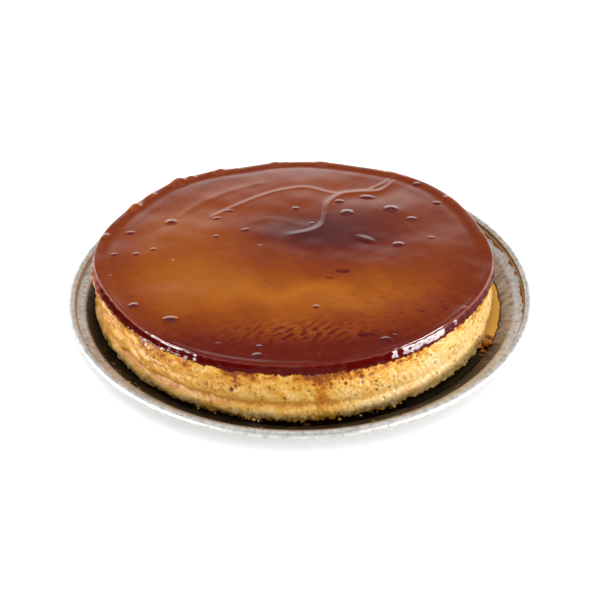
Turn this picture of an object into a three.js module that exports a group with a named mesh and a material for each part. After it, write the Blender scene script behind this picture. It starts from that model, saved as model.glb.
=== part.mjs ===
// Leche flan, turned out on its foil plate: the plate, the pool of thin syrup
// at one side of the flan's foot, the custard and the soft caramel on its top.
// Millimetres, +Z up. The origin is under the middle of the plate, where it stands.

import * as THREE from 'three';

// ---------- Driving dimensions ----------

const PLATE_RADIUS = 128.5;        // over the rolled bead
const FOIL = 0.6;                  // the drawn thickness of the foil
const FLOOR_RADIUS = 109.5;        // inside, where the flat bottom ends
const WALL_TOP_RADIUS = 119.5;     // inside, where the wall turns into the flange
const WALL_HEIGHT = 6.3;           // from the flat bottom to the flange
const FLANGE_RISE = 1.1;           // the flange climbs a little towards the bead
const GROOVE_RADIUS = 124.4;       // the crease between the flange and the bead
const BEAD_RADIUS = 2.05;          // of the rolled edge's round section
const PLEATS = 54;                 // pressed into the wall
const PLEAT_DEPTH = 0.5;

const SEAT_GAP = 0.3;              // clearance between touching pieces
const SYRUP_LEVEL = 2.4;
const SYRUP_START = -98;           // degrees: the pool lies from the viewer's side
const SYRUP_END = 120;             // round the right-hand side, and not at the left
const SYRUP_GAP = 0.5;             // clearance of the syrup from the flan and the wall
const SYRUP_MIN_WIDTH = 1.5;       // the pool is nowhere narrower

const FLAN_CENTRE = { x: -3.2, y: 3.4 };
const FLAN_LEAN = -1.2;            // the foot's centre lies this much nearer the viewer
const FLAN_RADIUS = 109.4;         // mean, over the widest part of the side
const FOOT_TUCK = 4.0;             // the foot draws in where it meets the plate
const FLAN_TOP = 30.4;             // the caramel's top over the middle of the flan
const TOP_SLOPE = -0.039;          // the top sinks towards the back
const CARAMEL_THICKNESS = 5.2;
const CREASE_HEIGHT = 0.36;        // of the custard's side, as a share of its height
const CREASE_DEPTH = 0.8;

const AROUND = 108;                // steps round every solid: a multiple of the pleats

// ---------- Small helpers ----------

const TURN = 2 * Math.PI;
const bell = (value, centre, width) => Math.exp(-(((value - centre) / width) ** 2));

/** The angle from one direction to another, wrapped into half a turn each way. */
function angleBetween(angle, other) {
  return Math.atan2(Math.sin(angle - other), Math.cos(angle - other));
}

/**
 * A closed solid from stacked rings: ringPoint(row, angle) gives a point for
 * each row. Rows run from the solid's foot, up its side and to its crown, and
 * the first and last rings close on a middle point.
 */
function ringSolid(rows, ringPoint) {
  const positions = [];
  const indices = [];
  const point = (row, step) => row * AROUND + (step % AROUND);
  for (let row = 0; row < rows; row++) {
    for (let step = 0; step < AROUND; step++) {
      positions.push(...ringPoint(row, (TURN * step) / AROUND));
    }
  }
  for (let row = 0; row < rows - 1; row++) {
    for (let step = 0; step < AROUND; step++) {
      const [a, b] = [point(row, step), point(row, step + 1)];
      const [c, d] = [point(row + 1, step), point(row + 1, step + 1)];
      indices.push(a, b, d, a, d, c);
    }
  }
  for (const [row, facesUp] of [[0, false], [rows - 1, true]]) {
    const middle = positions.length / 3;
    const mean = [0, 0, 0];
    for (let step = 0; step < AROUND; step++) {
      for (let axis = 0; axis < 3; axis++) {
        mean[axis] += positions[3 * point(row, step) + axis] / AROUND;
      }
    }
    positions.push(...mean);
    for (let step = 0; step < AROUND; step++) {
      const [a, b] = [point(row, step), point(row, step + 1)];
      indices.push(middle, ...(facesUp ? [a, b] : [b, a]));
    }
  }
  return solidGeometry(positions, indices);
}

/** A closed solid whose section sweeps from one direction to another, in degrees. */
function arcSolid(section, start, end) {
  const steps = Math.round((AROUND * (end - start)) / 360);
  const corners = section.length;
  const positions = [];
  const indices = [];
  for (let step = 0; step <= steps; step++) {
    const angle = THREE.MathUtils.degToRad(start + ((end - start) * step) / steps);
    for (const corner of section) positions.push(...corner(angle));
  }
  for (let step = 0; step < steps; step++) {
    for (let corner = 0; corner < corners; corner++) {
      const next = (corner + 1) % corners;
      const [a, b] = [step * corners + corner, (step + 1) * corners + corner];
      const [c, d] = [step * corners + next, (step + 1) * corners + next];
      indices.push(a, b, d, a, d, c);
    }
  }
  const last = steps * corners;
  for (let corner = 1; corner < corners - 1; corner++) {
    indices.push(0, corner, corner + 1);
    indices.push(last, last + corner + 1, last + corner);
  }
  return solidGeometry(positions, indices);
}

function solidGeometry(positions, indices) {
  const geometry = new THREE.BufferGeometry();
  geometry.setAttribute('position', new THREE.Float32BufferAttribute(positions, 3));
  geometry.setIndex(indices);
  geometry.computeVertexNormals();
  return geometry;
}

function piece(name, geometry, colour, roughness, metalness) {
  const material = new THREE.MeshStandardMaterial({ color: colour, roughness, metalness });
  const mesh = new THREE.Mesh(geometry, material);
  mesh.name = name;
  return mesh;
}

// ---------- The foil plate ----------

/** The plate's inner radius at a height, on the sloping wall. */
function wallRadius(height) {
  const share = Math.min(Math.max((height - FOIL) / WALL_HEIGHT, 0), 1);
  return FLOOR_RADIUS + share * (WALL_TOP_RADIUS - FLOOR_RADIUS);
}

/** The section: along the inside, round the bead and back underneath. */
function plateSection() {
  const flange = FOIL + WALL_HEIGHT;
  const groove = flange + FLANGE_RISE;
  const beadMiddle = { r: PLATE_RADIUS - BEAD_RADIUS, z: groove + BEAD_RADIUS + 0.2 };
  const middleWall = (FLOOR_RADIUS + WALL_TOP_RADIUS) / 2;
  const inside = [
    { r: FLOOR_RADIUS, z: FOIL, pleat: 0 },
    { r: middleWall, z: (FOIL + flange) / 2, pleat: 1 },
    { r: WALL_TOP_RADIUS, z: flange, pleat: 0.4 },
    { r: GROOVE_RADIUS, z: groove, pleat: 0 },
  ];
  const bead = [];
  const beadSteps = 8;
  for (let step = 0; step <= beadSteps; step++) {
    const angle = THREE.MathUtils.degToRad(200 - (290 * step) / beadSteps);
    bead.push({
      r: beadMiddle.r + BEAD_RADIUS * Math.cos(angle),
      z: beadMiddle.z + BEAD_RADIUS * Math.sin(angle),
      pleat: 0,
    });
  }
  const under = [
    { r: WALL_TOP_RADIUS + FOIL / 2, z: flange - FOIL, pleat: 0.4 },
    { r: middleWall + FOIL / 2, z: (FOIL + flange) / 2 - FOIL, pleat: 1 },
    { r: FLOOR_RADIUS + FOIL / 4, z: 0, pleat: 0 },
  ];
  return [...inside, ...bead, ...under];
}

function foilPlate() {
  const section = plateSection();
  const rows = [...section].reverse();
  const ringPoint = (row, angle) => {
    const { r, z, pleat } = rows[row];
    const radius = r + pleat * PLEAT_DEPTH * Math.cos(PLEATS * angle);
    return [radius * Math.cos(angle), radius * Math.sin(angle), z];
  };
  // The first row is the underside's edge and the last is the floor's edge, so
  // closing both on the axis makes the plate's flat bottom.
  return piece('foil_plate', ringSolid(rows.length, ringPoint),
    0xc9cac8, 0.35, 0.9);
}

// ---------- The flan's outline ----------

/** The flan's own radius, a little out of round. */
function outline(angle) {
  return FLAN_RADIUS
    + 0.9 * Math.cos(2 * angle + 0.5)
    + 0.5 * Math.cos(3 * angle - 0.9)
    + 0.3 * Math.cos(7 * angle + 2.0);
}

/** How far the flan may reach from its centre at a height, inside the wall. */
function roomInPlate(angle, height) {
  const limit = wallRadius(height) - PLEAT_DEPTH - 2 * SYRUP_GAP - SYRUP_MIN_WIDTH;
  const along = FLAN_CENTRE.x * Math.cos(angle) + FLAN_CENTRE.y * Math.sin(angle);
  const across = FLAN_CENTRE.x ** 2 + FLAN_CENTRE.y ** 2 - limit ** 2;
  return -along + Math.sqrt(along ** 2 - across);
}

/** The height of the caramel's top over a place measured from the flan's centre. */
function topHeight(x, y) {
  return FLAN_TOP + TOP_SLOPE * y;
}

/** The custard's side radius at a share of its height, 0 at the foot and 1 at the caramel. */
function sideRadius(angle, share, height) {
  const tuck = FOOT_TUCK * (1 - Math.min(share / 0.2, 1)) ** 2;
  const crease = CREASE_DEPTH * bell(share, CREASE_HEIGHT, 0.1);
  const belly = 1.2 * bell(share, 0.18, 0.16);
  const rightBulge = 1.6 * bell(angleBetween(angle, -0.15), 0, 0.35) * bell(share, 0.2, 0.25);
  const radius = outline(angle) - tuck - crease + belly + rightBulge;
  return height < FOIL + WALL_HEIGHT ? Math.min(radius, roomInPlate(angle, height)) : radius;
}

/** A point of the flan; its side leans as it rises to the caramel. */
function flanPoint(angle, radius, height) {
  const lean = FLAN_LEAN * Math.max(1 - height / (FLAN_TOP - CARAMEL_THICKNESS), 0);
  return [
    FLAN_CENTRE.x + radius * Math.cos(angle),
    FLAN_CENTRE.y + lean + radius * Math.sin(angle),
    height,
  ];
}

// ---------- The custard ----------

function custard() {
  const foot = FOIL + SEAT_GAP;
  const shares = [0, 0.05, 0.12, 0.2, 0.28, CREASE_HEIGHT, 0.45, 0.6, 0.8, 1];
  const ringPoint = (row, angle) => {
    const share = shares[row];
    const widest = outline(angle);
    const crown = topHeight(0, widest * Math.sin(angle)) - CARAMEL_THICKNESS - SEAT_GAP;
    const height = foot + share * (crown - foot);
    return flanPoint(angle, sideRadius(angle, share, height), height);
  };
  return piece('custard', ringSolid(shares.length, ringPoint), 0xd8b673, 0.5, 0);
}

// ---------- The caramel layer ----------

/** The caramel's section: distance in from the side, and height under its top. */
const CARAMEL_SECTION = [
  { inset: 0.3, drop: CARAMEL_THICKNESS },
  { inset: 0.1, drop: 3.6 },
  { inset: 0.7, drop: 2.0 },
  { inset: 2.2, drop: 0.6 },
  { inset: 4.6, drop: -0.5 },
  { inset: 8.0, drop: -0.6 },
  { inset: 13.0, drop: -0.1 },
  { inset: 24.0, drop: 0.3 },
  { inset: 45.0, drop: 0.1 },
  { inset: 70.0, drop: -0.2 },
  { inset: 92.0, drop: -0.3 },
];

/** Slow waves of the soft surface, and low blisters along its edge. */
function surfaceWave(x, y, inset) {
  const waves = 0.35 * Math.sin(0.05 * x + 0.8) * Math.cos(0.06 * y - 0.4);
  const blisters = 0.3 * bell(inset, 5, 4) * Math.sin(17 * Math.atan2(y, x));
  return waves + blisters;
}

function caramel() {
  const ringPoint = (row, angle) => {
    const { inset, drop } = CARAMEL_SECTION[row];
    const radius = outline(angle) - inset;
    const [x, y] = [radius * Math.cos(angle), radius * Math.sin(angle)];
    const isBottom = row === 0;
    const wave = isBottom ? 0 : surfaceWave(x, y, inset) * Math.min(inset / 4, 1);
    // The underside stays parallel to the custard's flat crown.
    const slopeAt = isBottom ? outline(angle) * Math.sin(angle) : y;
    return flanPoint(angle, radius, topHeight(x, slopeAt) - drop + wave);
  };
  return piece('caramel_layer', ringSolid(CARAMEL_SECTION.length, ringPoint), 0x7a2c08, 0.15, 0);
}

// ---------- The syrup ----------

/**
 * The pool between the flan's foot and the plate's wall, as far round as it
 * lies, with a flat face at each end.
 */
function syrup() {
  const foot = FOIL + SEAT_GAP;
  const custardCrown = (angle) =>
    topHeight(0, outline(angle) * Math.sin(angle)) - CARAMEL_THICKNESS - SEAT_GAP;
  const inner = (angle, height) => {
    const share = (height - foot) / (custardCrown(angle) - foot);
    return flanPoint(angle, sideRadius(angle, share, height) + SYRUP_GAP, height);
  };
  const outer = (angle, height) => {
    const radius = wallRadius(height) - PLEAT_DEPTH - SYRUP_GAP;
    return [radius * Math.cos(angle), radius * Math.sin(angle), height];
  };
  const levels = [foot, (foot + SYRUP_LEVEL) / 2, SYRUP_LEVEL];
  // The section runs up the outside and down the inside.
  const section = [
    ...levels.map((height) => (angle) => outer(angle, height)),
    ...[...levels].reverse().map((height) => (angle) => inner(angle, height)),
  ];
  return piece('syrup_pool', arcSolid(section, SYRUP_START, SYRUP_END), 0x1c0a04, 0.05, 0);
}

// ---------- The whole ----------

const flan = new THREE.Group();
flan.name = 'leche_flan';
flan.add(foilPlate(), syrup(), custard(), caramel());

export default flan;
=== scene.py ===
"""A leche flan on its foil plate: finishes and fine shapes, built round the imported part."""

import logging
import math
from dataclasses import dataclass
from enum import Enum

import bpy
import numpy as np
from mathutils import Matrix, Vector
from mathutils.kdtree import KDTree


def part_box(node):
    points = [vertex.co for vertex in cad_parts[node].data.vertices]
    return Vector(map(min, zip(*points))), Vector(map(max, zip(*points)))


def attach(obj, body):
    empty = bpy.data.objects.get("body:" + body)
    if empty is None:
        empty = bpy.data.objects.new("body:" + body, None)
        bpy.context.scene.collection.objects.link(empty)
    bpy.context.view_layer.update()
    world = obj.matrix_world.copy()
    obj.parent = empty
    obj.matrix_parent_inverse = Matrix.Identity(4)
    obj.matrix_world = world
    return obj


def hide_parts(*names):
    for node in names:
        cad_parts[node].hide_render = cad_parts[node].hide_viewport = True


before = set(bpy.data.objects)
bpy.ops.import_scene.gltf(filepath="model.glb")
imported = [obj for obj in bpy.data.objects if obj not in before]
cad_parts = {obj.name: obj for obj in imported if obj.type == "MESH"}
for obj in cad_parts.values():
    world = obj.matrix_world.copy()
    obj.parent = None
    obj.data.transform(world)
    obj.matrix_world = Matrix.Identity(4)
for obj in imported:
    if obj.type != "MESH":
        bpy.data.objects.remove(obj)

log = logging.getLogger("leche_flan")

MM = 0.001
TURN = 2 * math.pi
BODY = "root"
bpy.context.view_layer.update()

Array = np.ndarray

HUB = 200            # mm: a ring is turned this far out, then moved to its own radius
BALL_POINTS = 42     # vertices of one small ball
AROUND = 110         # mm: about the flan's radius, for patterns round it


class Slot(Enum):
    """The record's material slots."""

    FOIL = "foil"
    SYRUP = "syrup"
    CUSTARD = "custard"
    CARAMEL = "caramel"


# ---------- Numbers and noise ----------


def linear(colour: str) -> tuple[float, float, float, float]:
    """Turns an sRGB hex colour into the linear colour that a shader wants.

    Args:
        colour: Six hex digits after a hash, such as "#c46a1e".

    Returns:
        Linear red, green and blue, and an alpha of one.
    """
    channels = [int(colour[i:i + 2], 16) / 255 for i in (1, 3, 5)]
    turned = [c / 12.92 if c <= 0.04045 else ((c + 0.055) / 1.055) ** 2.4 for c in channels]
    return (*turned, 1.0)


def bell(value: Array | float, centre: float, width: float) -> Array | float:
    """A smooth bump of height one round a centre."""
    return np.exp(-(((value - centre) / width) ** 2))


def ramp(value: Array | float, low: float, high: float) -> Array | float:
    """A smooth step from nought at low to one at high."""
    share = np.clip((value - low) / (high - low), 0, 1)
    return share * share * (3 - 2 * share)


def angle_from(angle: Array, middle_degrees: float) -> Array:
    """The angle from a direction given in degrees, in degrees, within half a turn each way."""
    turned = angle - math.radians(middle_degrees)
    return np.degrees(np.arctan2(np.sin(turned), np.cos(turned)))


def toward(angle: Array, middle_degrees: float, width: float) -> Array:
    """One in a direction given in degrees, falling off smoothly over a width in degrees."""
    return bell(angle_from(angle, middle_degrees), 0, width)


def facing(angle: Array, middle_degrees: float, low: float, high: float) -> Array:
    """One on the side that a direction faces, and nought behind; low and high are degrees
    counted from the opposite side."""
    return ramp(180 - np.abs(angle_from(angle, middle_degrees)), low, high)


def oval(x: Array, y: Array, middle: tuple[float, float], half: tuple[float, float],
         width: float = 1.0) -> Array:
    """A smooth oval patch, one at its middle, with half its length and half its breadth."""
    return bell(np.hypot((x - middle[0]) / half[0], (y - middle[1]) / half[1]), 0, width)


def round_about(reach: float, angle: Array, *more: Array) -> Array:
    """Places on a ring, so that a pattern read there meets itself after a full turn."""
    return np.column_stack([reach * np.cos(angle), reach * np.sin(angle), *more])


def unevenness(places: Array, size: float, seed: int, waves: int = 14) -> Array:
    """Smooth seeded noise, made of plane waves in chance directions.

    Args:
        places: Points, one row each, in millimetres.
        size: The usual distance from one swell to the next, in millimetres.
        seed: Chooses the pattern.
        waves: How many plane waves are added up.

    Returns:
        One value for each point, mostly between minus one and one.
    """
    chance = np.random.default_rng(seed)
    directions = chance.normal(size=(waves, places.shape[1]))
    directions /= np.linalg.norm(directions, axis=1)[:, None]
    lengths = size * chance.uniform(0.7, 1.6, waves)
    phases = chance.uniform(0, TURN, waves)
    total = np.zeros(len(places))
    for direction, length, phase in zip(directions, lengths, phases):
        total += np.cos(places @ direction * (TURN / length) + phase)
    return total / math.sqrt(waves / 2) * 0.6


# ---------- Modelling helpers ----------


def edit_only(piece: bpy.types.Object) -> None:
    """Deselects all, then opens one piece in edit mode."""
    bpy.ops.object.select_all(action="DESELECT")
    piece.select_set(True)
    bpy.context.view_layer.objects.active = piece
    bpy.ops.object.mode_set(mode="EDIT")


def leave_edit() -> None:
    """Goes back to object mode."""
    bpy.ops.object.mode_set(mode="OBJECT")


def turned_piece(name: str, profile: list[tuple[float, float]], steps: int,
                 closed: bool = False) -> bpy.types.Object:
    """Turns a section round the Z axis, as on a potter's wheel.

    Args:
        name: The new piece's name.
        profile: Radius and height of each point of the section, in millimetres.
        steps: How many faces go round, a multiple of sixteen.
        closed: True where the last point joins the first, away from the axis.

    Returns:
        The piece, closed, with its faces pointing out.
    """
    bpy.ops.object.select_all(action="DESELECT")
    bpy.ops.mesh.primitive_plane_add(size=0.001)
    piece = bpy.context.active_object
    piece.name = piece.data.name = name
    edit_only(piece)
    bpy.ops.mesh.select_mode(type="VERT")
    bpy.ops.mesh.select_all(action="SELECT")
    bpy.ops.mesh.merge(type="CENTER")
    bpy.ops.transform.translate(value=(profile[0][0] * MM, 0, profile[0][1] * MM))
    points = profile + profile[:1] if closed else profile
    for (r0, z0), (r1, z1) in zip(points, points[1:]):
        shift = ((r1 - r0) * MM, 0, (z1 - z0) * MM)
        bpy.ops.mesh.extrude_region_move(TRANSFORM_OT_translate={"value": shift})
    bpy.ops.mesh.select_all(action="SELECT")
    wedge = TURN / 16
    bpy.ops.mesh.spin(steps=steps // 16, angle=wedge, center=(0, 0, 0), axis=(0, 0, 1))
    for part in (1, 2, 4, 8):
        bpy.ops.mesh.select_all(action="SELECT")
        bpy.ops.mesh.duplicate()
        bpy.ops.transform.rotate(value=wedge * part, orient_axis="Z", center_override=(0, 0, 0))
    bpy.ops.mesh.select_all(action="SELECT")
    bpy.ops.mesh.remove_doubles(threshold=1e-6)
    bpy.ops.mesh.normals_make_consistent(inside=False)
    leave_edit()
    return piece


def read_points(piece: bpy.types.Object) -> Array:
    """The piece's vertices in millimetres, one row each."""
    flat = np.empty(len(piece.data.vertices) * 3, np.float32)
    piece.data.vertices.foreach_get("co", flat)
    return flat.reshape(-1, 3).astype(float) / MM


def write_points(piece: bpy.types.Object, points: Array) -> None:
    """Puts moved vertices, in millimetres, back into the piece."""
    piece.data.vertices.foreach_set("co", (points * MM).astype(np.float32).ravel())
    piece.data.update()


def paint(piece: bpy.types.Object, name: str, values: Array) -> None:
    """Stores one value for each vertex under a name that the piece's finish reads."""
    layer = piece.data.attributes.new(name, "FLOAT", "POINT")
    layer.data.foreach_set("value", np.clip(values, 0, 1).astype(np.float32))


def smooth(piece: bpy.types.Object, degrees: float = 60) -> None:
    """Shades a piece smooth, apart from edges sharper than an angle."""
    bpy.ops.object.select_all(action="DESELECT")
    piece.select_set(True)
    bpy.context.view_layer.objects.active = piece
    bpy.ops.object.shade_smooth_by_angle(angle=math.radians(degrees))


def joined(name: str, pieces: list[bpy.types.Object]) -> bpy.types.Object:
    """Joins pieces into one, and leaves its object at the origin with its place in its mesh."""
    bpy.ops.object.select_all(action="DESELECT")
    for piece in pieces:
        piece.select_set(True)
    bpy.context.view_layer.objects.active = pieces[0]
    if len(pieces) > 1:
        bpy.ops.object.join()
    bpy.ops.object.transform_apply(location=True, rotation=True, scale=True)
    whole = bpy.context.active_object
    whole.name = whole.data.name = name
    return whole


def hand_over(piece: bpy.types.Object, slot: Slot, finish: bpy.types.Material,
              node: str | None = None) -> None:
    """Dresses a piece and tells the frame what it is.

    Args:
        piece: The finished piece.
        slot: The record's material slot that it takes its finish from; it is only logged here.
        finish: Its material.
        node: The CAD node that it stands for, if any.
    """
    piece.data.materials.clear()
    piece.data.materials.append(finish)
    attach(piece, BODY)
    if node:
        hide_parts(node)
    piece.data.calc_loop_triangles()
    log.info("%s: %d triangles, slot %s", piece.name, len(piece.data.loop_triangles), slot.value)


# ---------- Material helpers ----------


def add_node(tree: bpy.types.NodeTree, kind: str, settings: dict | None = None,
             inputs: dict | None = None, stops: list | None = None) -> bpy.types.Node:
    """Adds a node with its settings, values and links.

    Args:
        tree: The node tree that it goes into.
        kind: Blender's name of the node type.
        settings: Properties of the node.
        inputs: Input sockets, by name or number, with a value or the socket that feeds them.
        stops: For a colour ramp, its positions and linear colours.

    Returns:
        The new node.
    """
    node = tree.nodes.new(kind)
    for name, value in (settings or {}).items():
        setattr(node, name, value)
    for socket, value in (inputs or {}).items():
        if isinstance(value, bpy.types.NodeSocket):
            tree.links.new(value, node.inputs[socket])
        else:
            node.inputs[socket].default_value = value
    if stops:
        elements = node.color_ramp.elements
        while len(elements) > 1:
            elements.remove(elements[0])
        elements[0].position, elements[0].color = stops[0]
        for position, colour in stops[1:]:
            elements.new(position).color = colour
    return node


def new_material(name: str) -> tuple[bpy.types.Material, bpy.types.NodeTree, bpy.types.Node]:
    """A material with an empty tree and its output node."""
    material = bpy.data.materials.new(name)
    material.use_nodes = True
    tree = material.node_tree
    tree.nodes.clear()
    return material, tree, tree.nodes.new("ShaderNodeOutputMaterial")


# ---------- Finishes ----------


@dataclass(frozen=True)
class CaramelGlaze:
    """Burnt-sugar caramel soaked into the custard's skin: clear, wet and deeper in colour where
    it lies thicker, so the attribute "depth" runs from amber through red-brown to near black;
    "depth" also carries painted shade on the front of the blisters. The attribute "edge" says
    where its dark side is, which throws back less light."""

    amber: str = "#b96f17"
    honey: str = "#a95b0b"
    russet: str = "#8d3c05"
    garnet: str = "#681802"
    burnt: str = "#4c0200"
    clouded: str = "#5c3733"        # where it set cloudy, as the attribute "smoke" says
    mottle: float = 9 * MM          # the size of the cloudy patches
    grain: float = 1.1 * MM         # soaked-through specks, drawn as coarse as they show
    ripple: float = 0.9 * MM        # fine unevenness of the wet film
    roughness: float = 0.10
    ior: float = 1.37               # thin sugar syrup
    edge_ior: float = 1.17          # of the soaked side

    def build(self) -> bpy.types.Material:
        """Builds the material."""
        material, tree, output = new_material("burnt_sugar_caramel_glazed")
        place = add_node(tree, "ShaderNodeTexCoord").outputs["Object"]
        depth = add_node(tree, "ShaderNodeAttribute", {"attribute_name": "depth"}).outputs["Fac"]
        cloud = add_node(tree, "ShaderNodeTexNoise", inputs={
            "Vector": place, "Scale": 1 / self.mottle, "Detail": 5.0, "Roughness": 0.6})
        grain = add_node(tree, "ShaderNodeTexNoise", inputs={
            "Vector": place, "Scale": 1 / self.grain, "Detail": 2.0, "Roughness": 0.5})
        clouded = add_node(tree, "ShaderNodeMath", {"operation": "MULTIPLY_ADD"}, {
            0: cloud.outputs["Fac"], 1: 0.10, 2: depth})
        specks = add_node(tree, "ShaderNodeMapRange", inputs={
            "Value": grain.outputs["Fac"], "From Min": 0.6, "From Max": 0.74, "To Max": 0.16})
        settled = add_node(tree, "ShaderNodeMath", {"operation": "MULTIPLY_ADD"}, {
            0: specks.outputs["Result"], 1: 1.0, 2: clouded.outputs[0]})
        settled = add_node(tree, "ShaderNodeMath", {"operation": "SUBTRACT"}, {
            0: settled.outputs[0], 1: 0.05})
        colour = add_node(tree, "ShaderNodeValToRGB", inputs={"Fac": settled.outputs[0]}, stops=[
            (0.0, linear(self.amber)), (0.22, linear(self.honey)), (0.48, linear(self.russet)),
            (0.72, linear(self.garnet)), (0.95, linear(self.burnt))])
        smoke = add_node(tree, "ShaderNodeAttribute", {"attribute_name": "smoke"})
        smoky = add_node(tree, "ShaderNodeMix", {"data_type": "RGBA"}, {
            0: smoke.outputs["Fac"], 6: colour.outputs["Color"], 7: linear(self.clouded)})
        film = add_node(tree, "ShaderNodeTexNoise", inputs={
            "Vector": place, "Scale": 1 / self.ripple, "Detail": 2.0})
        bump = add_node(tree, "ShaderNodeBump", inputs={
            "Height": film.outputs["Fac"], "Strength": 0.10, "Distance": 0.05 * MM})
        glazes = [add_node(tree, "ShaderNodeBsdfPrincipled", inputs={
            "Base Color": smoky.outputs[2], "Roughness": self.roughness, "IOR": ior,
            "Normal": bump.outputs["Normal"]}) for ior in (self.ior, self.edge_ior)]
        edge = add_node(tree, "ShaderNodeAttribute", {"attribute_name": "edge"})
        both = add_node(tree, "ShaderNodeMixShader", inputs={
            0: edge.outputs["Fac"], 1: glazes[0].outputs[0], 2: glazes[1].outputs[0]})
        tree.links.new(both.outputs[0], output.inputs["Surface"])
        return material


@dataclass(frozen=True)
class CustardCrumb:
    """Baked egg custard, cut free of its pan: pale and moist, browned in its pores and where
    caramel has run down it. Attributes "pore", "brown" and "wet" say where; "brown" also carries
    painted shade in the crease and on the left, and painted light on the right and at the left foot."""

    cream: str = "#f4d79c"
    golden: str = "#e8b04a"
    toasted: str = "#c67817"
    browned: str = "#8a430b"
    singed: str = "#7a3403"
    mottle: float = 14 * MM
    curd: float = 1.5 * MM          # curdled texture of the cut side
    pinhole: float = 0.7 * MM       # the finest pores
    speck: float = 2.1 * MM         # browned specks
    roughness: float = 0.42
    wet_roughness: float = 0.14

    def build(self) -> bpy.types.Material:
        """Builds the material."""
        material, tree, output = new_material("egg_custard_baked")
        place = add_node(tree, "ShaderNodeTexCoord").outputs["Object"]
        pore = add_node(tree, "ShaderNodeAttribute", {"attribute_name": "pore"}).outputs["Fac"]
        brown = add_node(tree, "ShaderNodeAttribute", {"attribute_name": "brown"}).outputs["Fac"]
        wet = add_node(tree, "ShaderNodeAttribute", {"attribute_name": "wet"}).outputs["Fac"]
        cloud = add_node(tree, "ShaderNodeTexNoise", inputs={
            "Vector": place, "Scale": 1 / self.mottle, "Detail": 4.0, "Roughness": 0.55})
        curd = add_node(tree, "ShaderNodeTexNoise", inputs={
            "Vector": place, "Scale": 1 / self.curd, "Detail": 4.0, "Roughness": 0.65})
        pinhole = add_node(tree, "ShaderNodeTexVoronoi", inputs={
            "Vector": place, "Scale": 1 / self.pinhole})
        toasting = add_node(tree, "ShaderNodeMath", {"operation": "MULTIPLY_ADD"}, {
            0: cloud.outputs["Fac"], 1: 0.75, 2: brown})
        curdled = add_node(tree, "ShaderNodeMath", {"operation": "MULTIPLY_ADD"}, {
            0: curd.outputs["Fac"], 1: 1.0, 2: toasting.outputs[0]})
        cells = add_node(tree, "ShaderNodeTexVoronoi", inputs={
            "Vector": place, "Scale": 1 / self.speck})
        dots = add_node(tree, "ShaderNodeMapRange", inputs={
            "Value": cells.outputs["Distance"], "From Min": 0.24, "From Max": 0.13})
        strewn = add_node(tree, "ShaderNodeMapRange", inputs={
            "Value": cloud.outputs["Fac"], "From Min": 0.40, "From Max": 0.60, "To Max": 0.75})
        dotted = add_node(tree, "ShaderNodeMath", {"operation": "MULTIPLY_ADD"}, {
            0: dots.outputs["Result"], 1: strewn.outputs["Result"], 2: curdled.outputs[0]})
        settled = add_node(tree, "ShaderNodeMath", {"operation": "SUBTRACT", "use_clamp": True}, {
            0: dotted.outputs[0], 1: 0.69})
        crumb = add_node(tree, "ShaderNodeValToRGB", inputs={"Fac": settled.outputs[0]}, stops=[
            (0.0, linear(self.cream)), (0.35, linear(self.golden)), (0.75, linear(self.toasted)),
            (1.0, linear(self.browned))])
        pored = add_node(tree, "ShaderNodeMix", {"data_type": "RGBA"}, {
            0: pore, 6: crumb.outputs["Color"], 7: linear(self.singed)})
        gloss = add_node(tree, "ShaderNodeMapRange", inputs={
            "Value": wet, "To Min": self.roughness, "To Max": self.wet_roughness})
        fine = add_node(tree, "ShaderNodeBump", inputs={
            "Height": pinhole.outputs["Distance"], "Strength": 0.25, "Distance": 0.12 * MM})
        coarse = add_node(tree, "ShaderNodeBump", inputs={
            "Height": curd.outputs["Fac"], "Strength": 0.9, "Distance": 0.6 * MM,
            "Normal": fine.outputs["Normal"]})
        shader = add_node(tree, "ShaderNodeBsdfPrincipled", inputs={
            "Base Color": pored.outputs[2], "Roughness": gloss.outputs["Result"], "IOR": 1.38,
            "Subsurface Weight": 0.1, "Subsurface Scale": 1.5 * MM,
            "Subsurface Radius": (1.0, 0.55, 0.2), "Normal": coarse.outputs["Normal"]})
        tree.links.new(shader.outputs[0], output.inputs["Surface"])
        return material


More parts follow.
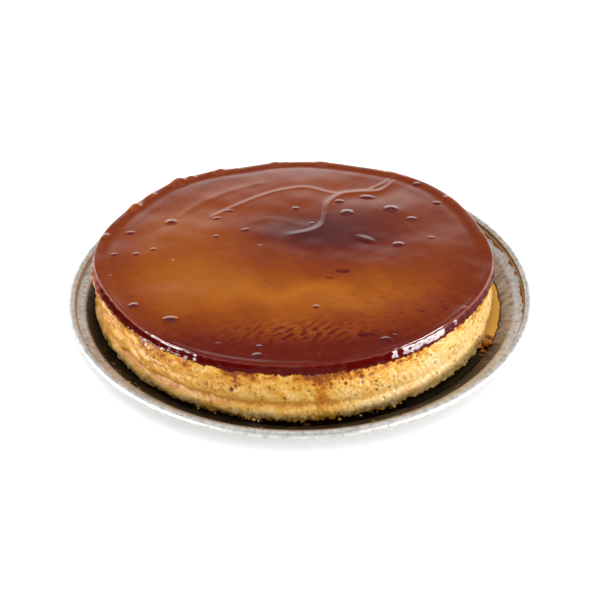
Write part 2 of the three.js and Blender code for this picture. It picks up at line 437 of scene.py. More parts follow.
@dataclass(frozen=True)
class PressedFoil:
    """Rolled aluminium foil, pressed to shape: bright and a little brushed by the press, with a
    brown film where syrup has dried, as the attribute "film" says, which on the wall also carries
    painted dark reflection, and crumpling by "crush"."""

    bright: str = "#cdcbc8"
    dull: str = "#afadaa"
    thin_film: str = "#7d6c5e"
    syrup_film: str = "#4a3f37"
    # nearly black: wet syrup, and the painted dark reflection on the wall
    wet_film_and_dark_reflection: str = "#110b08"
    crumple: float = 1.2 * MM
    mottle: float = 3.2 * MM        # patches of brighter and duller metal
    roughness: float = 0.40
    metal: float = 0.52             # a little matt, so that it takes some light from all round

    def build(self) -> bpy.types.Material:
        """Builds the material."""
        material, tree, output = new_material("aluminium_foil_pressed")
        place = add_node(tree, "ShaderNodeTexCoord").outputs["Object"]
        film = add_node(tree, "ShaderNodeAttribute", {"attribute_name": "film"}).outputs["Fac"]
        crush = add_node(tree, "ShaderNodeAttribute", {"attribute_name": "crush"}).outputs["Fac"]
        cloud = add_node(tree, "ShaderNodeTexNoise", inputs={
            "Vector": place, "Scale": 1 / self.mottle, "Detail": 3.0, "Roughness": 0.6})
        metal_tone = add_node(
            tree, "ShaderNodeValToRGB", inputs={"Fac": cloud.outputs["Fac"]},
            stops=[(0.36, linear(self.dull)), (0.56, linear(self.bright))])
        coat = add_node(tree, "ShaderNodeValToRGB", inputs={"Fac": film}, stops=[
            (0.3, linear(self.thin_film)), (0.7, linear(self.syrup_film)),
            (1.0, linear(self.wet_film_and_dark_reflection))])
        cover = add_node(tree, "ShaderNodeMapRange", inputs={"Value": film, "From Max": 0.55})
        stained = add_node(tree, "ShaderNodeMix", {"data_type": "RGBA"}, {
            0: cover.outputs["Result"], 6: metal_tone.outputs["Color"], 7: coat.outputs["Color"]})
        crumple = add_node(tree, "ShaderNodeTexVoronoi", inputs={
            "Vector": place, "Scale": 1 / self.crumple})
        depth = add_node(tree, "ShaderNodeMath", {"operation": "MULTIPLY"}, {
            0: crumple.outputs["Distance"], 1: crush})
        bump = add_node(tree, "ShaderNodeBump", inputs={
            "Height": depth.outputs[0], "Strength": 0.35, "Distance": 0.35 * MM})
        shader = add_node(tree, "ShaderNodeBsdfPrincipled", inputs={
            "Base Color": stained.outputs[2], "Metallic": self.metal, "Roughness": self.roughness,
            "Normal": bump.outputs["Normal"]})
        tree.links.new(shader.outputs[0], output.inputs["Surface"])
        return material


@dataclass(frozen=True)
class DarkSyrup:
    """Caramel syrup run off the flan: nearly black in depth and golden brown where it lies shallow
    enough for the foil to shine through; the golden patch at the right of the pool is a painted
    reflection of the custard's side."""

    deep: str = "#070201"
    clear: str = "#8a4c10"
    # golden: the colour of small drops over the foil, and of the painted reflection of the custard in the
    # pool
    golden: str = "#e2ac4a"
    roughness: float = 0.05
    ior: float = 1.2                # little of the room shows in it

    def build(self) -> bpy.types.Material:
        """Builds the material."""
        material, tree, output = new_material("caramel_syrup_thin")
        thin_and_reflection = add_node(tree, "ShaderNodeAttribute", {"attribute_name": "thin_and_reflection"}).outputs["Fac"]
        colour = add_node(tree, "ShaderNodeValToRGB", inputs={"Fac": thin_and_reflection}, stops=[
            (0.0, linear(self.deep)), (0.12, linear(self.deep)), (0.5, linear(self.clear)),
            (0.85, linear(self.golden))])
        shader = add_node(tree, "ShaderNodeBsdfPrincipled", inputs={
            "Base Color": colour.outputs["Color"], "Roughness": self.roughness, "IOR": self.ior})
        tree.links.new(shader.outputs[0], output.inputs["Surface"])
        return material


# ---------- The foil plate ----------


@dataclass
class FoilPlate:
    """The round plate: floor, finely pleated wall, flange, groove and rolled bead.

    All sizes are in millimetres; the outside radius and the bead's top come from the frame.
    """

    radius: float
    top: float
    foil: float = 0.6
    skin: float = 0.35
    floor_radius: float = 109.5
    wall_top_radius: float = 119.5
    wall_height: float = 6.3
    flange_rise: float = 1.1
    groove_radius: float = 124.4
    bead_radius: float = 2.05
    pleats: int = 380
    steps: int = 1520

    def wall_radius(self, height: Array | float) -> Array | float:
        """The inner radius of the sloping wall at a height."""
        share = np.clip((height - self.foil) / self.wall_height, 0, 1)
        return self.floor_radius + share * (self.wall_top_radius - self.floor_radius)

    def surface(self, radius: Array) -> Array:
        """The height of the plate's upper face at a radius."""
        brim = self.foil + self.wall_height
        rise = self.flange_rise / (self.groove_radius - 0.5 - self.wall_top_radius)
        middle = self.radius - self.bead_radius
        arch = np.sqrt(np.maximum(self.bead_radius ** 2 - (radius - middle) ** 2, 0))
        run = self.wall_top_radius - self.floor_radius
        wall = self.foil + (radius - self.floor_radius) * self.wall_height / run
        flange = brim + (radius - self.wall_top_radius) * rise
        return np.select(
            [radius < self.floor_radius, radius < self.wall_top_radius,
             radius < self.groove_radius],
            [self.foil, wall, flange], self.top - self.bead_radius + arch)

    def section(self) -> list[tuple[float, float]]:
        """The section, from the axis over the inside and round the bead to the underside."""
        flange = self.foil + self.wall_height
        groove = flange + self.flange_rise
        middle_r, middle_z = self.radius - self.bead_radius, self.top - self.bead_radius
        floor_rings = [(0.0, self.foil), (60.0, self.foil), (100.0, self.foil)]
        wall = [(self.wall_radius(self.foil + self.wall_height * share),
                 self.foil + self.wall_height * share) for share in np.linspace(0, 1, 9)]
        brim = [(self.wall_top_radius + (self.groove_radius - 0.5 - self.wall_top_radius) * share,
                 flange + self.flange_rise * share) for share in np.linspace(0.2, 1, 5)]
        bead = []
        for degrees in np.linspace(205, -120, 22):
            turn = math.radians(degrees)
            bead.append((middle_r + self.bead_radius * math.cos(turn),
                         middle_z + self.bead_radius * math.sin(turn)))
        under = [(self.groove_radius - 0.4, groove - self.skin - 0.1)]
        under += [(r + 0.15, z - self.skin) for r, z in reversed(brim[:-1])]
        under += [(r + 0.2, max(z - self.skin, 0.0)) for r, z in reversed(wall)]
        under += [(100.0, 0.0), (60.0, 0.0), (0.0, 0.0)]
        return floor_rings + wall + brim + bead + under

    def pleat_wave(self, angle: Array) -> Array:
        """The wall's pleats as a wave round the plate, from minus one to one."""
        return np.sin(self.pleats * angle + 1.2 * unevenness(round_about(40, angle), 9, 11))

    def press(self, piece: bpy.types.Object) -> None:
        """Presses the pleats into the wall and crumples the bead, and paints the stains."""
        points = read_points(piece)
        x, y, z = points.T
        angle, radius = np.arctan2(y, x), np.hypot(x, y)
        on_wall = ramp(radius, self.floor_radius + 1.5, self.floor_radius + 4) \
            * (1 - ramp(radius, self.wall_top_radius - 0.5, self.wall_top_radius + 1.5))
        on_bead = ramp(radius, self.groove_radius, self.groove_radius + 0.8)
        pleat = self.pleat_wave(angle)
        depth = 0.15 + 0.08 * unevenness(round_about(60, angle), 5, 12)
        press = on_wall * depth * pleat
        crumple = 0.06 * on_bead * unevenness(np.c_[x, y, z * 2], 3.2, 13) \
            * ramp(self.top - z, 0.8, 3.0)
        shrink = 1 + (press * 0.6 - np.abs(crumple)) / np.maximum(radius, 1)
        points[:, 0] = x * shrink
        points[:, 1] = y * shrink
        points[:, 2] = np.clip(z + press * 0.8, 0, self.top)
        write_points(piece, points)
        self.stain(piece, points)

    def stain(self, piece: bpy.types.Object, points: Array) -> None:
        """Says where syrup has filmed the foil, where the wall is darkened by direction as painted dark
        reflection, and where the foil is crumpled.
        """
        x, y, z = points.T
        angle, radius = np.arctan2(y, x), np.hypot(x, y)
        streaks = unevenness(round_about(220, angle, radius * 0.6), 3.5, 14)
        broad = unevenness(np.c_[x, y], 22, 15)
        inside = z > self.foil - 0.1
        wall = (1 - ramp(radius, self.wall_top_radius - 0.6, self.wall_top_radius + 0.4)) * inside
        # The wall's syrup film with painted dark reflection: darker towards the left, the front and the
        # right front; lighter along the pleats.
        left = toward(angle, -165, 45)
        front = toward(angle, -98, 50) + 0.5 * toward(angle, -47, 15)
        hatch = ramp(self.pleat_wave(angle), 0.1, 1.0)
        wall_film_and_painted_reflection = wall * np.clip(0.40 + 0.46 * left + 0.50 * front
                                   + 0.12 * streaks * (1 - 0.6 * front)
                                   - (0.08 + 0.15 * left) * hatch + 0.06 * broad, 0, 1)
        past_wall = radius - self.wall_top_radius
        lip = 0.30 * (1 - ramp(past_wall, 1.0, 3.4)) * inside * toward(angle, -84, 46) \
            * (past_wall > -0.6)
        groove = bell(radius, self.groove_radius - 0.15, 0.22) * inside * (z < self.top - 1) \
            * (1 - 0.7 * toward(angle, 178, 40))
        flecks = ramp(unevenness(np.c_[x, y], 2.6, 16, 24), 0.62, 0.9) \
            * bell(radius, self.groove_radius - 2, 3.5) * 0.3
        paint(piece, "film", np.maximum.reduce([wall_film_and_painted_reflection, lip, groove * 0.8, flecks]))
        paint(piece, "crush", ramp(radius, self.groove_radius, self.radius - 1.2)
              * ramp(self.top - z, 0.3, 1.6) + 0.15)

    def build(self) -> bpy.types.Object:
        """Builds the plate."""
        piece = turned_piece("foil_plate_pressed", self.section(), self.steps)
        self.press(piece)
        smooth(piece, 50)
        hand_over(piece, Slot.FOIL, PressedFoil().build(), "foil_plate")
        return piece


# ---------- The flan's shape ----------


@dataclass
class FlanShape:
    """What custard and caramel share: place, outline, lean and tilt, in millimetres."""

    centre: tuple[float, float]
    foot: float
    middle_top: float
    radius: float = 109.4
    slope: float = -0.036
    lean: float = -1.2
    caramel: float = 5.2

    def outline(self, angle: Array) -> Array:
        """The radius in each direction, a little out of round."""
        even = (self.radius + 0.9 * np.cos(2 * angle + 0.5) + 0.5 * np.cos(3 * angle - 0.9)
                + 0.3 * np.cos(7 * angle + 2.0))
        return even + 3.6 * toward(angle, 47, 17) + 0.9 * toward(angle, 80, 9) \
            - 2.4 * toward(angle, 108, 10) - 2.6 * toward(angle, 150, 17) \
            - 1.2 * toward(angle, 10, 10)

    def band(self, angle: Array) -> Array:
        """How far the caramel reaches down the side; less at the left and the right."""
        return self.caramel - 3.1 * toward(angle, -148, 30) - 1.5 * toward(angle, -22, 20)

    def top(self, y: Array) -> Array:
        """The height of the caramel's top plane, which sinks towards the back."""
        return self.middle_top + self.slope * y

    def place(self, angle: Array, radius: Array, height: Array) -> Array:
        """Points in the plate's frame, from directions and radii about the flan's own middle."""
        lean = self.lean * np.clip(1 - height / (self.middle_top - self.caramel), 0, 1)
        return np.c_[self.centre[0] + radius * np.cos(angle),
                     self.centre[1] + lean + radius * np.sin(angle), height]


# ---------- The custard ----------


@dataclass
class Custard:
    """The custard under its caramel: an uneven side with a crease, pores and a ragged foot."""

    shape: FlanShape
    plate: FoilPlate
    highest: float
    steps: int = 1232
    rows: int = 46
    tuck: float = 4.0
    crease_share: float = 0.34
    crease_depth: float = 1.3
    pores: int = 3400
    seed: int = 21

    def section(self) -> list[tuple[float, float]]:
        """The section before it is made uneven: height runs from nought to one."""
        side = [(self.shape.radius, share) for share in np.linspace(0, 1, self.rows)]
        return [(0.0, 0.0), (60.0, 0.0), (95.0, 0.0), *side, (95.0, 1.0), (60.0, 1.0), (0.0, 1.0)]

    def side_radius(self, angle: Array, share: Array) -> Array:
        """The side's radius in each direction at a share of its height."""
        right = toward(angle, -40, 26)
        spread = 1 - 0.7 * toward(angle, -138, 28) - 0.85 * toward(angle, -88, 22) \
            - 1.65 * right
        tuck = self.tuck * (1 - np.clip(share / (0.2 + 0.25 * right), 0, 1)) ** 2 * spread
        front_left = facing(angle, -112, 100, 165)
        crease = self.crease_depth * (0.15 + 0.85 * front_left) \
            * bell(share, self.crease_share, 0.07)
        belly = 1.1 * bell(share, 0.18, 0.15)
        torn = 3.0 * toward(angle, -165, 6) * ramp(share, 0.22, 0.34) * (1 - ramp(share, 0.6, 0.85))
        return self.shape.outline(angle) - tuck - crease + belly - torn

    def fit_in_plate(self, points: Array) -> Array:
        """Keeps the foot inside the plate's wall."""
        wall = self.plate.wall_radius(points[:, 2]) - 0.5
        reach = np.hypot(points[:, 0], points[:, 1])
        low = points[:, 2] < self.plate.foil + self.plate.wall_height
        scale = np.where(low & (reach > wall), wall / np.maximum(reach, 1), 1)
        points[:, :2] *= scale[:, None]
        return points

    def model(self, piece: bpy.types.Object) -> None:
        """Gives the turned block its outline, lean, crease, ragged foot and pores."""
        base = read_points(piece)
        angle, reach = np.arctan2(base[:, 1], base[:, 0]), np.hypot(base[:, 0], base[:, 1])
        share, on_side = base[:, 2], reach / self.shape.radius
        around = round_about(AROUND, angle, share * 25)
        radius = self.side_radius(angle, share) + 0.35 * unevenness(around, 16, self.seed) \
            + 0.13 * unevenness(around, 2.2, self.seed + 1, 20)
        left = toward(angle, -155, 42)
        radius += left * 0.7 * unevenness(around * (1, 1, 1.4), 8, self.seed + 9)
        ragged = bell(share, 0.0, 0.13) * (
            0.8 * unevenness(around * (1, 1, 0.4), 4.2, self.seed + 2, 20)
            + 0.5 * unevenness(around * (1, 1, 0.8), 1.8, self.seed + 3, 20))
        radius += ragged
        outer = ramp(on_side, 0.9, 1)
        crown = self.shape.top(radius * on_side * np.sin(angle)) - 0.25 \
            - self.shape.caramel * (1 - outer) - self.shape.band(angle) * outer
        height = self.shape.foot + share * (np.minimum(crown, self.highest + 0.9) - self.shape.foot)
        points = self.fit_in_plate(self.shape.place(angle, radius * on_side, height))
        pore = self.pierce(points, angle, on_side)
        write_points(piece, points)
        self.paint_side(piece, around, angle, share, pore)

    def pierce(self, points: Array, angle: Array, on_side: Array) -> Array:
        """Presses pores into the side, more of them just under the caramel.

        Args:
            points: The side's points, which are moved in place.
            angle: Their directions.
            on_side: One for points on the side, and less on the discs.

        Returns:
            How deep in a pore each point lies, from nought to one.
        """
        chance = np.random.default_rng(self.seed + 5)
        tree = KDTree(len(points))
        for index, point in enumerate(points):
            if on_side[index] > 0.99:
                tree.insert(point, index)
        tree.balance()
        depth = np.zeros(len(points))
        patch = chance.uniform(0, TURN, 26)
        for _ in range(self.pores):
            turn = patch[chance.integers(len(patch))] + chance.normal(0, 0.16) \
                if chance.random() < 0.45 else chance.uniform(0, TURN)
            level = 1 - abs(chance.normal(0, 0.30)) if chance.random() < 0.7 else chance.random()
            level = min(max(level, 0.04), 0.98)
            size = 0.30 + 0.40 * chance.random() ** 3 + (0.5 if chance.random() < 0.015 else 0)
            crown = float(self.shape.top(self.shape.radius * math.sin(turn))) - self.shape.caramel
            height = self.shape.foot + level * (crown - self.shape.foot)
            radius = float(self.side_radius(np.array([turn]), np.array([level]))[0])
            middle = self.shape.place(np.array([turn]), np.array([radius]), np.array([height]))[0]
            for _, index, distance in tree.find_range(Vector(middle), size * 1.5):
                inside = 1 - min(distance / (size * 1.5), 1) ** 2
                depth[index] = max(depth[index], inside * min(size * 1.5, 1.1))
        inward = 0.45 * depth
        points[:, 0] -= inward * np.cos(angle)
        points[:, 1] -= inward * np.sin(angle)
        return ramp(depth, 0.15, 0.8)

    def paint_side(self, piece: bpy.types.Object, around: Array, angle: Array, share: Array,
                   pore: Array) -> None:
        """Says where the side is pored, browned and wet, and where light and shade are painted on it."""
        patches = unevenness(around * (1, 1, 0.5), 14, self.seed + 7)
        fine = unevenness(around, 5, self.seed + 8)
        under_caramel = bell(share, 1.05, 0.25) * np.clip(0.48 + 0.5 * patches + 0.3 * fine, 0, 1)
        # Painted light and shade: the left of the side is painted darker and the right lighter, most of
        # all low down, as the light falls from the right.
        right = toward(angle, -38, 38)
        painted_light_and_shade = 0.05 + 0.14 * toward(angle, -145, 50) - 0.30 * right * (0.6 + 0.4 * (1 - share))
        run = toward(angle, -82.5, 1.9) * ramp(share, 0.12, 0.5) * 0.48
        run += toward(angle, -104.5, 1.1) * ramp(share, 0.35, 0.8) * 0.30
        # Painted shade: the crease is painted darker, most on the front and the left.
        crease = bell(share, self.crease_share - 0.01, 0.06) * facing(angle, -112, 110, 160)
        # Painted light: the left foot is painted lighter, as if lit; the very foot is darkened where
        # syrup soaks in.
        painted_light_left_foot = toward(angle, -140, 34) * (1 - ramp(share, 0.1, 0.45))
        wick_and_painted_light = bell(share, 0.0, 0.06) * 0.45 - 0.26 * painted_light_left_foot
        paint(piece, "pore", pore * np.clip(0.85 + 0.4 * patches, 0.35, 1))
        paint(piece, "brown", 0.06 + 0.75 * under_caramel + run + 0.28 * crease + wick_and_painted_light + painted_light_and_shade
              + 0.10 * fine)
        paint(piece, "wet", bell(share, 0.12, 0.12) * np.clip(0.7 + 0.9 * patches, 0, 1)
              + 0.7 * bell(share, 1, 0.15) + 0.35)

    def build(self) -> bpy.types.Object:
        """Builds the custard."""
        piece = turned_piece("custard_baked", self.section(), self.steps)
        self.model(piece)
        smooth(piece, 80)
        hand_over(piece, Slot.CUSTARD, CustardCrumb().build(), "custard")
        return piece


# ---------- The caramel ----------


@dataclass(frozen=True)
class Blister:
    """A bubble under the caramel's skin: place about the flan's middle, size and height in
    millimetres, and how much longer than wide it is, along a direction in degrees."""

    x: float
    y: float
    radius: float
    height: float
    stretch: float = 1.0
    turn: float = 0.0

    def rise(self, x: Array, y: Array) -> Array:
        """How far it lifts the surface at each place."""
        turn = math.radians(self.turn)
        along = (x - self.x) * math.cos(turn) + (y - self.y) * math.sin(turn)
        across = (y - self.y) * math.cos(turn) - (x - self.x) * math.sin(turn)
        away = np.hypot(along / self.stretch, across) / self.radius
        return 0.56 * self.height * (1 - np.clip(away, 0, 1) ** 2) ** 1.5


@dataclass(frozen=True)
class Wrinkle:
    """A fold or ridge of the caramel's skin, along a smooth line of places in millimetres."""

    line: tuple[tuple[float, float], ...]
    height: float
    width: float
    step: float = 0.0

    def smooth_line(self, parts: int = 12) -> Array:
        """The line through its places, with rounded bends."""
        knots = np.array([self.line[0], *self.line, self.line[-1]], float)
        pieces = []
        for p0, p1, p2, p3 in zip(knots, knots[1:], knots[2:], knots[3:]):
            for t in np.linspace(0, 1, parts, endpoint=False):
                pieces.append(0.5 * (2 * p1 + (p2 - p0) * t
                                     + (2 * p0 - 5 * p1 + 4 * p2 - p3) * t ** 2
                                     + (3 * p1 - p0 - 3 * p2 + p3) * t ** 3))
        return np.array([*pieces, knots[-1]])

    def rise(self, x: Array, y: Array) -> Array:
        """How far it lifts the surface at each place; the step is to the line's left."""
        line = self.smooth_line()
        best = np.full(len(x), 1e9)
        side = np.zeros(len(x))
        share = np.zeros(len(x))
        for index, (start, end) in enumerate(zip(line, line[1:])):
            run = end - start
            length = max(float(run @ run), 1e-9)
            t = np.clip(((x - start[0]) * run[0] + (y - start[1]) * run[1]) / length, 0, 1)
            dx, dy = x - start[0] - t * run[0], y - start[1] - t * run[1]
            away = dx * dx + dy * dy
            near = away < best
            best = np.where(near, away, best)
            side = np.where(near, run[0] * dy - run[1] * dx, side)
            share = np.where(near, (index + t) / (len(line) - 1), share)
        distance = np.sqrt(best)
        fade = ramp(share, 0, 0.12) * (1 - ramp(share, 0.88, 1))
        ridge = self.height * bell(distance, 0, self.width)
        drop = self.step * np.where(side > 0, 1, 0) * bell(distance, 0, self.width * 4) \
            * ramp(distance, 0, self.width)
        return fade * (ridge + drop)


@dataclass
class CaramelTop:
    """The soaked caramel skin: a dished, glossy top with blisters and folds, and a dark side."""

    shape: FlanShape
    highest: float
    farthest: float
    steps: int = 624
    proud: float = 0.25
    shoulder: float = 1.0
    lean: float = 1.9
    rim_rise: float = 0.32
    seed: int = 51
    blisters: tuple[Blister, ...] = (
        Blister(-70, 31, 3.8, 1.3), Blister(-92, 19, 2.2, 0.6, 1.3), Blister(-98, -5, 1.7, 0.55),
        Blister(-86, -5, 1.7, 0.5, 1.3), Blister(-77, 0, 1.8, 0.55), Blister(-65, -12, 1.3, 0.35),
        Blister(-97, -27, 1.2, 0.35), Blister(-81, -56, 2.8, 1.1), Blister(-61, -69, 3.2, 1.2, 1.5),
        Blister(-44, 35, 1.9, 0.6, 1.5, 20), Blister(-37, 44, 1.7, 0.5, 1.6, 15),
        Blister(-27, 21, 1.9, 0.5, 1.6, 25), Blister(-43, 14, 1.6, 0.5, 1.3, 30),
        Blister(2, 46, 2.4, 0.8), Blister(11, 28, 1.6, 0.4), Blister(28, 54, 2.4, 0.8, 1.3),
        Blister(32, 40, 4.2, 1.6), Blister(45, 59, 2.8, 0.9, 1.9, -12), Blister(58, 44, 4.2, 1.6, 1.1),
        Blister(76, 75, 2.6, 1.1), Blister(69, 32, 2.6, 0.8, 1.3), Blister(59, 3, 3.2, 1.2, 1.1),
        Blister(41, 9, 4.2, 0.5, 1.9, -40), Blister(86, 51, 2.0, 0.6, 1.3), Blister(-18, 5, 1.3, -0.4),
        Blister(12, -59, 2.2, 0.5), Blister(45, -88, 2.6, 0.7, 1.4, 20), Blister(50, -85, 1.7, 0.5),
        Blister(-16, -93, 1.8, 0.7), Blister(-17, -100, 2.3, 0.9, 1.3, 30), Blister(13, -100, 1.0, -0.4),
        Blister(78, 10, 1.8, 0.4, 1.5), Blister(88, -62, 1.6, 0.4, 1.6), Blister(-36, -90, 1.2, 0.3, 2.0))
    wrinkles: tuple[Wrinkle, ...] = (
        Wrinkle(((-67, 34), (-60, 47), (-48, 60), (-33, 72), (-15, 81)), 0.06, 2.6),
        Wrinkle(((-50, 34), (-38, 46), (-22, 60), (-8, 69), (8, 73), (20, 67), (30, 63)),
                0.07, 2.0, -0.12),
        Wrinkle(((68, 92), (59, 76), (52, 68), (40, 67), (29, 64), (21, 53), (19, 39), (16, 26),
                 (8, 19), (-6, 15)), 0.27, 1.5, 0.28),
        Wrinkle(((46, 68), (57, 78), (64, 90)), 0.20, 1.3),
        Wrinkle(((47, 48), (57, 35), (66, 24), (69, 13)), 0.04, 1.0),
        Wrinkle(((-26, 30), (-10, 34), (4, 27), (13, 24)), 0.03, 2.6))
    bump_lift: float = 1.4
    torn_bumps: tuple[tuple[float, float, float], ...] = (      # direction, radius and height
        (152, 3.4, 2.2), (143, 2.4, 1.3), (131, 4.8, 2.6), (126, 2.8, 1.5), (115.5, 3.4, 1.9),
        (110, 2.2, 0.9), (96, 3.4, 1.4), (92, 2.4, 1.0), (80, 4.5, 0.9), (55, 4.5, 0.9),
        (31, 3.0, 0.8), (172, 2.8, 0.9))
    torn_lumps: tuple[tuple[float, float, float], ...] = (      # direction, width in degrees, bulge
        (152, 2.6, 1.9), (143, 2.2, 0.8), (130, 4.6, 1.9), (117, 2.2, 1.1), (113, 3.5, 0.8),
        (95, 3.4, 1.0), (80, 7.0, 0.9), (55, 8, 0.8), (30, 4, 0.5))
    dark_flecks: tuple[tuple[float, float, float], ...] = (     # place and size
        (27, -25, 4.0), (20, -32, 2.4), (-14, -41, 1.2), (36, -84, 4.5))

    def section(self) -> list[tuple[float, float]]:
        """The section, with its heights counted from the top plane."""
        edge = self.shape.radius + self.proud
        band = [(edge - self.lean * share ** 1.15,
                 self.shape.caramel * (share - 1) - self.shoulder * share)
                for share in np.linspace(0, 1, 8)]
        edge -= self.lean
        curve = []
        for degrees in np.linspace(8, 90, 9):
            turn = math.radians(degrees)
            curve.append((edge - self.shoulder + self.shoulder * math.cos(turn),
                          -self.shoulder + self.shoulder * math.sin(turn)))
        inner = edge - self.shoulder
        top = [(r, 0.0) for r in np.linspace(inner, 2.0, 112)[1:]]
        under = [(0.0, -self.shape.caramel), (90.0, -self.shape.caramel)]
        return [*under, *band, *curve, *top, (0.0, 0.0)]

    def refine(self, piece: bpy.types.Object) -> None:
        """Divides the faces round each blister, so that it comes out round."""
        edit_only(piece)
        bpy.ops.mesh.select_mode(type="FACE")
        bpy.ops.mesh.select_all(action="DESELECT")
        leave_edit()
        mesh = piece.data
        middles = np.empty(len(mesh.polygons) * 3, np.float32)
        mesh.polygons.foreach_get("center", middles)
        x, y, z = middles.reshape(-1, 3).T / MM
        chosen = np.zeros(len(x), bool)
        for blister in self.blisters:
            reach = blister.radius * max(blister.stretch, 1) * 1.25
            chosen |= np.hypot(x - blister.x, y - blister.y) < reach
        mesh.polygons.foreach_set("select", chosen & (z > -0.5))
        edit_only(piece)
        bpy.ops.mesh.subdivide(number_cuts=1)
        leave_edit()

    def relief(self, x: Array, y: Array, inset: Array, angle: Array) -> Array:
        """How far the top stands above its plane."""
        front = facing(angle, -90, 100, 150)
        dish = self.rim_rise * ramp(inset, 8 - 2.2 * front, 3 - 2.6 * front) \
            - 0.06 * bell(inset, 9.5, 2.2)
        places = np.c_[x, y]
        waves = 0.15 * unevenness(places, 50, self.seed) \
            + 0.025 * unevenness(places, 16, self.seed + 1)
        along, across = x * 0.81 + y * 0.59, y * 0.81 - x * 0.59
        smear = self.smear_area(x, y)
        wiped = 0.11 * smear * unevenness(np.c_[along * 0.45, across], 2.4, self.seed + 2, 22)
        dip = -0.75 * toward(angle, -81, 4.5) * ramp(inset, 14, 2)
        scuffed = oval(x, y, (38, -48), (60, 34))
        scuffs = 0.016 * scuffed * unevenness(np.c_[along * 0.3, across], 3.4, self.seed + 3, 24)
        rise = dish + waves + wiped + dip + scuffs
        for feature in (*self.blisters, *self.wrinkles, *self.edge_bumps()):
            rise = rise + feature.rise(x, y)
        return rise

    def edge_bumps(self) -> list[Blister]:
        """Bumps on the edge, where the skin tore off the pan."""
        bumps = []
        for degrees, size, height in self.torn_bumps:
            height *= self.bump_lift
            turn = math.radians(degrees)
            reach = float(self.shape.outline(np.array(turn))) - 2.8
            bumps.append(Blister(reach * math.cos(turn), reach * math.sin(turn), size, height, 1.35,
                                 degrees + 90))
        return bumps

    def smear_area(self, x: Array, y: Array) -> Array:
        """Where the top was wiped while it set, near the front."""
        return bell(x + 0.15 * y, -8, 34) * bell(y, -81, 9)

    def edge_lumps(self, angle: Array) -> Array:
        """How far the edge bulges in each direction, where the skin tore off the pan."""
        lumps = np.zeros(len(angle))
        for middle, width, height in self.torn_lumps:
            lumps += height * toward(angle, middle, width)
        return lumps

    def model(self, piece: bpy.types.Object) -> None:
        """Gives the turned disc its outline, tilt and relief."""
        base = read_points(piece)
        angle, reach = np.arctan2(base[:, 1], base[:, 0]), np.hypot(base[:, 0], base[:, 1])
        drop = base[:, 2]
        lumps = self.edge_lumps(angle)
        around = round_about(AROUND, angle, drop)
        share = reach / (self.shape.radius + self.proud)
        near_edge = ramp(share, 0.8, 1)
        ripple = 0.20 * unevenness(around, 5.5, self.seed + 4) \
            + 0.06 * unevenness(around, 2.0, self.seed + 5, 20)
        shoulder = bell(drop, -1.6, 1.7)
        upright = 1 - ramp(np.abs(angle_from(angle, -92)), 92, 60)
        steeper = (upright * self.lean * 0.85 + 0.7 * toward(angle, -92, 17)
                   - 1.6 * toward(angle, -152, 17)) \
            * ramp(drop, -self.shape.caramel, -self.shoulder)
        radius = (self.shape.outline(angle) + self.proud) * share \
            + near_edge * (0.65 * lumps * shoulder + ripple * ramp(drop, -0.1, -1.2) + steeper)
        inset = self.shape.outline(angle) + self.proud - radius
        x, y = radius * np.cos(angle), radius * np.sin(angle)
        on_top = ramp(drop, -self.shoulder - 0.6, -0.05)
        rise = self.relief(x, y, inset, angle)
        lifted = (self.shape.caramel - self.shape.band(angle)) * ramp(share, 0.85, 0.97) \
            * np.clip((-drop - self.shoulder) / (self.shape.caramel - self.shoulder), 0, 1)
        hem = unevenness(round_about(AROUND, angle), 4.5, self.seed + 6) \
            + 0.6 * unevenness(round_about(AROUND, angle), 1.8, self.seed + 7)
        hem_drop = -0.75 * (0.5 + hem) * (drop < -self.shape.caramel + 0.01) * (share > 0.9)
        height = self.shape.top(y) + drop + on_top * (rise + 0.3 * lumps * ramp(inset, 7.5, 3)) \
            + hem_drop + lifted
        points = self.shape.place(angle, radius, np.minimum(height, self.highest))
        points[:, 1] = np.minimum(points[:, 1], self.farthest)
        write_points(piece, points)
        self.paint_depth(piece, x, y, inset, drop, angle)

    def paint_depth(self, piece: bpy.types.Object, x: Array, y: Array, inset: Array, drop: Array,
                    angle: Array) -> None:
        """Says how thick, and so how dark, the caramel lies, with painted shade on the front of the
        taller blisters.
        """
        places = np.c_[x, y]
        wander = 7 * unevenness(places, 34, self.seed + 8)
        fine = unevenness(places, 9, self.seed + 9)
        amber = oval(x, y + wander, (8, -49), (48, 15))
        amber += 0.75 * oval(x, y + wander, (-52, -30), (40, 27))
        amber += 0.40 * oval(x, y, (-60, 22), (30, 26))
        amber += 0.35 * oval(x, y, (62, -38), (30, 18))
        fold = 10 + 0.45 * (y - 20)
        inside_fold = np.where(y > 20, ramp(x - fold, -2, 3), 1)
        dark = (0.6 + 0.4 * inside_fold) * oval(x, y + 0.6 * wander, (20, 16), (44, 29), 0.95)
        dark += 0.30 * oval(x, y, (2, 22), (22, 11))
        dark += 0.12 * inside_fold * oval(x, y, (60, 38), (38, 34), 0.9)
        dark += 0.35 * oval(x, y, (17, 14), (20, 10))
        along, across = x * 0.81 + y * 0.59, y * 0.81 - x * 0.59
        streak = ramp(unevenness(np.c_[along * 0.4, across], 2.6, self.seed + 10, 22), 0.0, 0.8)
        slanted = np.c_[x * 0.35 + y * 0.06, y - 0.2 * x]
        dashes = ramp(unevenness(slanted, 2.6, self.seed + 11, 22), 0.7, 1.0) \
            * oval(x, y, (48, -60), (40, 22))
        ring = bell(inset, 9.0, 1.5)
        depth = 0.50 - 0.34 * np.clip(amber, 0, 1.1) + 0.32 * dark + 0.02 * fine \
            + 0.10 * oval(x, y, (82, -40), (34, 40))
        depth += 0.34 * self.smear_area(x, y) * (streak - 0.28) + 0.16 * dashes
        for fleck_x, fleck_y, size in self.dark_flecks:
            away = np.hypot((x - fleck_x) / 2.2, y - fleck_y + 0.6 * fine) / size
